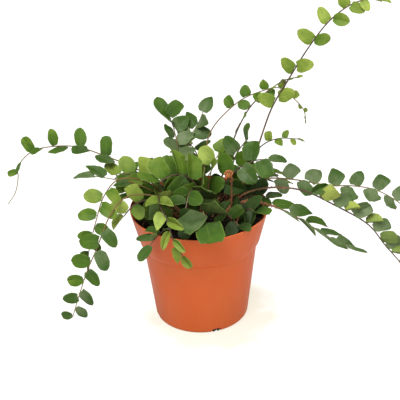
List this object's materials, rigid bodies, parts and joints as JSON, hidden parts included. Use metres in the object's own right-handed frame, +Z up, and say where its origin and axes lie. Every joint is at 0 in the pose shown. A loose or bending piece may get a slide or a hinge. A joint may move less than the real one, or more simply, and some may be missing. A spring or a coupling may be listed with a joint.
{
  "type": "potted fern",
  "caption": "Button fern with arching fronds of round leaflets, standing in a tapered plastic nursery pot of potting mix.",
  "frame": {"origin": "centre of the pot's flat base, which stands on Z = 0", "axes": "+Z up the pot's axis, +X along the fronds' widest spread, -Y towards the front"},
  "size_m": [0.3663, 0.1923, 0.2892],
  "materials": {
    "terracotta_plastic": "satin terracotta-coloured plastic",
    "potting_mix": "matt, damp, crumbly potting mix",
    "fern_leaf": "satin leathery leaves, with thin wiry brown stalks",
    "crozier_fur": "matt, covered in fine rust-coloured hairs"
  },
  "bodies": {
    "root": {"crozier_low": "crozier_fur", "crozier_tall": "crozier_fur", "frond_back_high": "fern_leaf", "frond_back_left_high": "fern_leaf", "frond_back_left_low": "fern_leaf", "frond_back_young": "fern_leaf", "frond_front_hang": "fern_leaf", "frond_front_over": "fern_leaf", "frond_left_arch": "fern_leaf", "frond_left_hang": "fern_leaf", "frond_left_short": "fern_leaf", "frond_left_trail": "fern_leaf", "frond_low_front": "fern_leaf", "frond_low_front_left": "fern_leaf", "frond_low_left": "fern_leaf", "frond_mid_back": "fern_leaf", "frond_mid_back_left": "fern_leaf", "frond_mid_back_right": "fern_leaf", "frond_mid_crown": "fern_leaf", "frond_mid_front": "fern_leaf", "frond_mid_front_right": "fern_leaf", "frond_mid_left": "fern_leaf", "frond_mid_left_front": "fern_leaf", "frond_mid_left_low": "fern_leaf", "frond_mid_left_top": "fern_leaf", "frond_mid_right": "fern_leaf", "frond_mid_right_low": "fern_leaf", "frond_mid_right_top": "fern_leaf", "frond_mid_top": "fern_leaf", "frond_mid_top_right": "fern_leaf", "frond_rear_arch": "fern_leaf", "frond_rear_right": "fern_leaf", "frond_right_arch": "fern_leaf", "frond_right_back": "fern_leaf", "frond_right_low": "fern_leaf", "frond_right_thin": "fern_leaf", "frond_rim_small": "fern_leaf", "frond_tall": "fern_leaf", "pot": "terracotta_plastic", "potting_mix": "potting_mix"}
  },
  "joints": []
}
